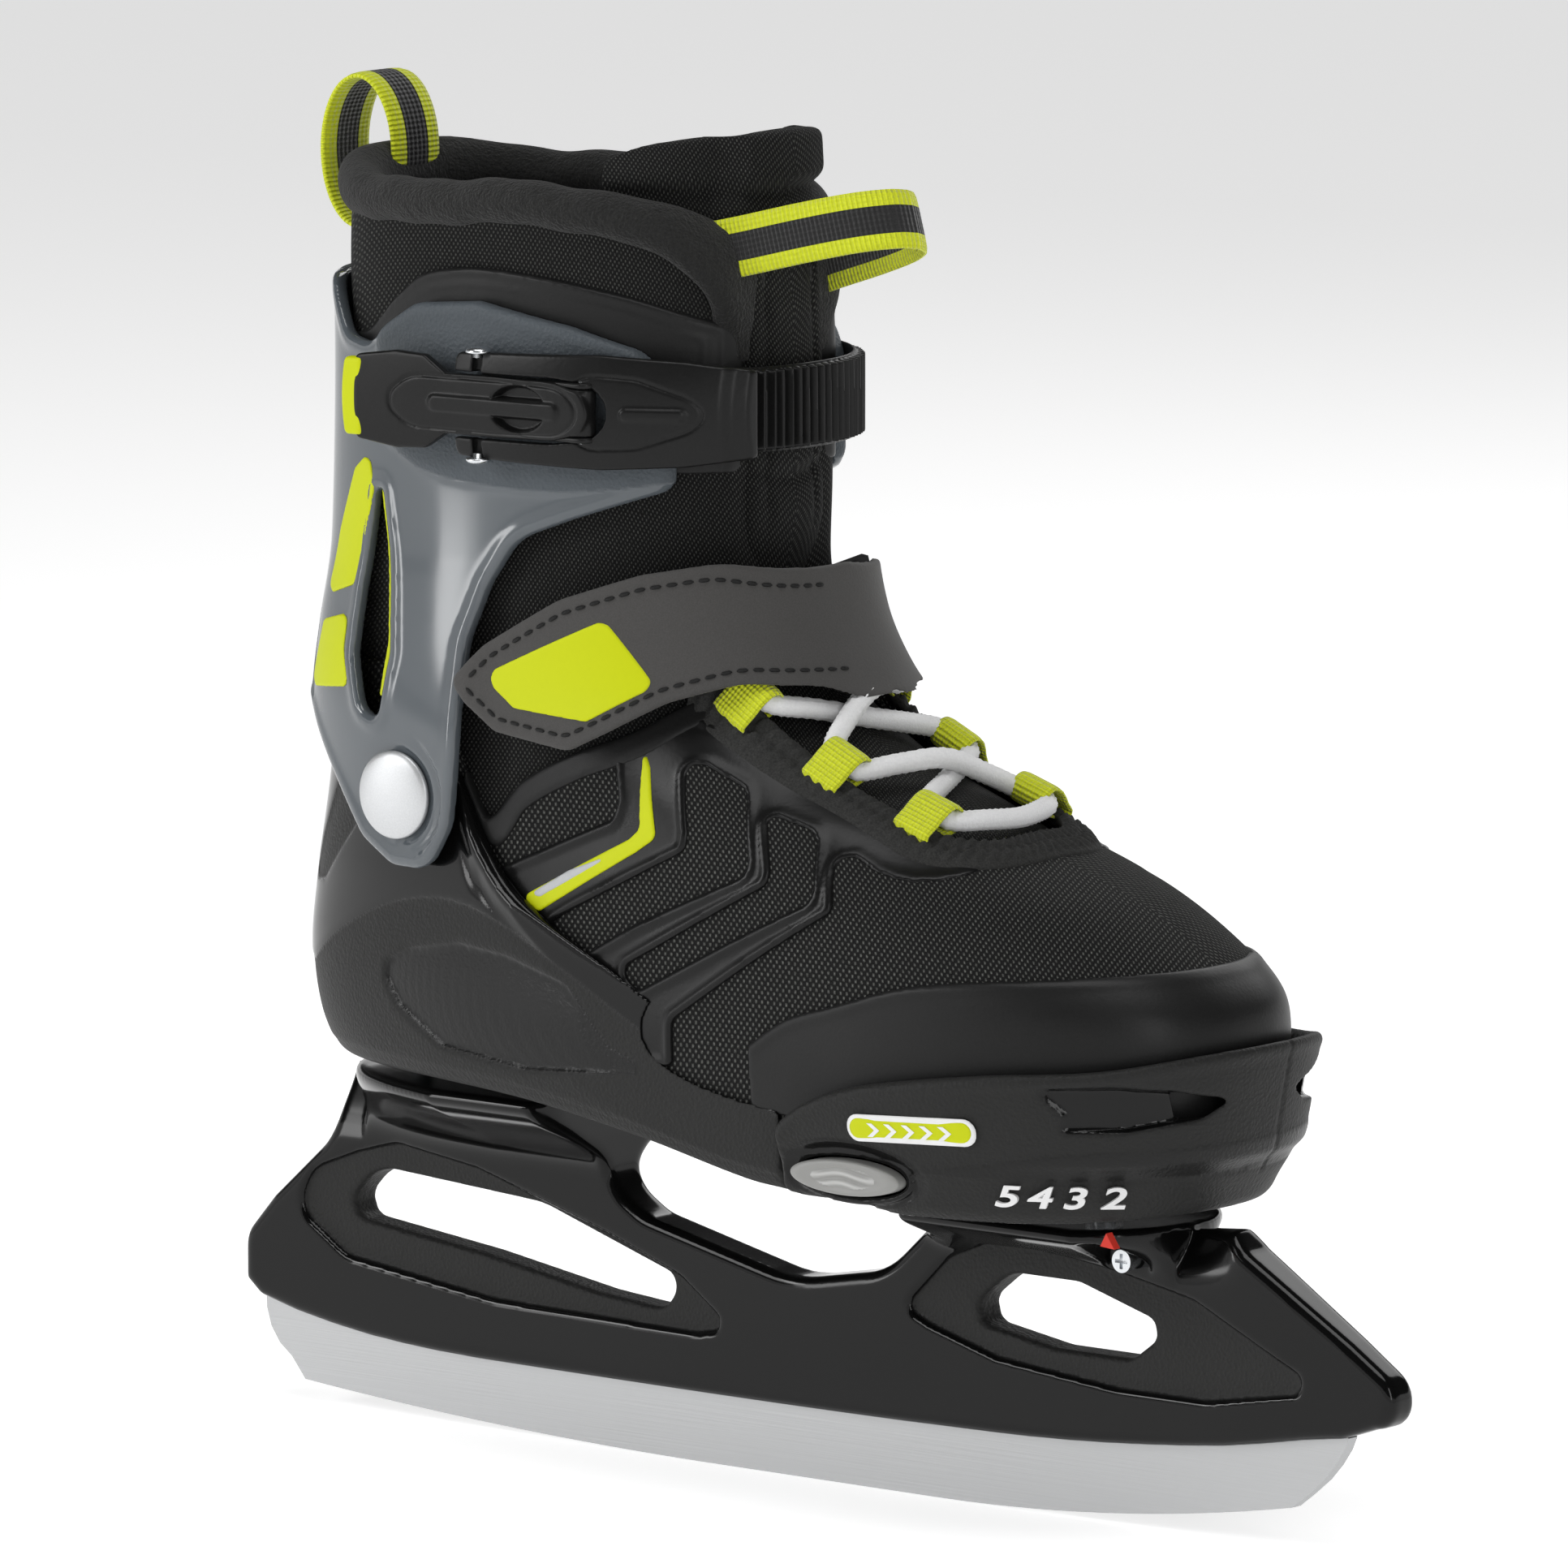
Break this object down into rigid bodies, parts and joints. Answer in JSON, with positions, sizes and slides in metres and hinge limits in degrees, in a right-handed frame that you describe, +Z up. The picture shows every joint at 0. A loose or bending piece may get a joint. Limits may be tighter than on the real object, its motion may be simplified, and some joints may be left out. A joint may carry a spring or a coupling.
{
  "type": "ice skate",
  "caption": "Extendable recreational ice skate with hinged cuff, lever buckle, instep strap, laces and a steel runner in a moulded holder.",
  "frame": {"origin": "middle of the flat stretch of the runner's edge, at ice level", "axes": "+X to the toe, +Y to the inner (medial) side of this right skate, +Z up"},
  "size_m": [0.3077, 0.1009, 0.2879],
  "materials": {
    "runner_steel": "ground stainless steel with fine lengthwise lines",
    "bright_steel": "bright zinc-plated steel",
    "cap_silver": "satin silver",
    "black_gloss": "glossy moulded plastic with matte grained panels",
    "black_matte": "fine grained moulded plastic",
    "cuff_grey": "glossy slate grey plastic, grained wing",
    "lime_plastic": "satin lime",
    "white_plastic": "printed white",
    "grey_plastic": "satin grey",
    "red_plastic": "satin red",
    "black_mesh": "air mesh textile",
    "black_fleece": "brushed fleece lining",
    "black_synthetic": "matte synthetic leather with stitching",
    "lime_webbing": "ribbed lime webbing with a black stripe",
    "white_lace": "round braided lace"
  },
  "bodies": {
    "root": {"blade": "runner_steel", "blade_holder": "black_gloss", "blade_rivets": "bright_steel", "frame_bolts": "bright_steel", "cross_screw": "bright_steel", "base_shell": "black_gloss", "size_pointer": "red_plastic", "insole": "black_fleece", "pivot_rivet_lateral": "cap_silver", "pivot_rivet_medial": "cap_silver", "quarter": "black_mesh", "quarter_overlays": "black_synthetic", "tongue_lower": "black_mesh", "eyestay": "black_mesh", "lace_loops": "lime_webbing", "lace": "white_lace", "strap_band": "black_synthetic", "strap_ring": "black_matte"},
    "toe": {"toe_shell": "black_matte", "toe_box": "black_mesh", "toe_rand": "black_synthetic", "size_badge": "lime_plastic", "size_numerals": "white_plastic", "button_spring": "bright_steel"},
    "button": {"size_button": "grey_plastic"},
    "strap_end": {"strap_tip": "black_synthetic"},
    "cuff": {"cuff": "cuff_grey", "cuff_decals": "lime_plastic", "cuff_liner": "black_mesh", "liner_facing": "black_synthetic", "collar": "black_fleece", "tongue_upper": "black_mesh", "front_pull_loop": "lime_webbing", "rear_pull_loop": "lime_webbing", "buckle_base": "black_matte", "buckle_screw": "bright_steel", "lever_pin": "bright_steel", "ladder_strap": "black_matte", "ladder_screw": "bright_steel"},
    "lever": {"buckle_lever": "black_matte", "lever_tab": "lime_plastic", "arm_pin": "bright_steel"},
    "arm": {"buckle_arm": "black_matte"}
  },
  "joints": [
    {"name": "toe_extend", "type": "slide", "parent": "root", "child": "toe", "axis": [1, 0, 0], "range_m": [0, 0.02]},
    {"name": "size_release", "type": "slide", "parent": "toe", "child": "button", "axis": [0, 1, 0], "range_m": [0, 0.0025], "stiffness_N_per_m": 800},
    {"name": "cuff_flex", "type": "hinge", "parent": "root", "child": "cuff", "pos_m": [-0.084, 0, 0.142], "axis": [0, 1, 0], "range_deg": [-4, 10]},
    {"name": "strap_peel", "type": "hinge", "parent": "root", "child": "strap_end", "pos_m": [-0.0184, -0.0362, 0.176], "axis": [0, 0.2588, 0.9659], "range_deg": [0, 70]},
    {"name": "buckle_open", "type": "hinge", "parent": "cuff", "child": "lever", "pos_m": [-0.033, -0.041, 0.2265], "axis": [0, 0, 1], "range_deg": [0, 70]},
    {"name": "arm_swing", "type": "hinge", "parent": "lever", "child": "arm", "pos_m": [-0.05776, -0.04534, 0.2265], "axis": [0, 0, 1], "range_deg": [-70, 0]}
  ],
  "couplings": [
    {"joint": "arm_swing", "follows": "buckle_open", "ratio": -1}
  ]
}
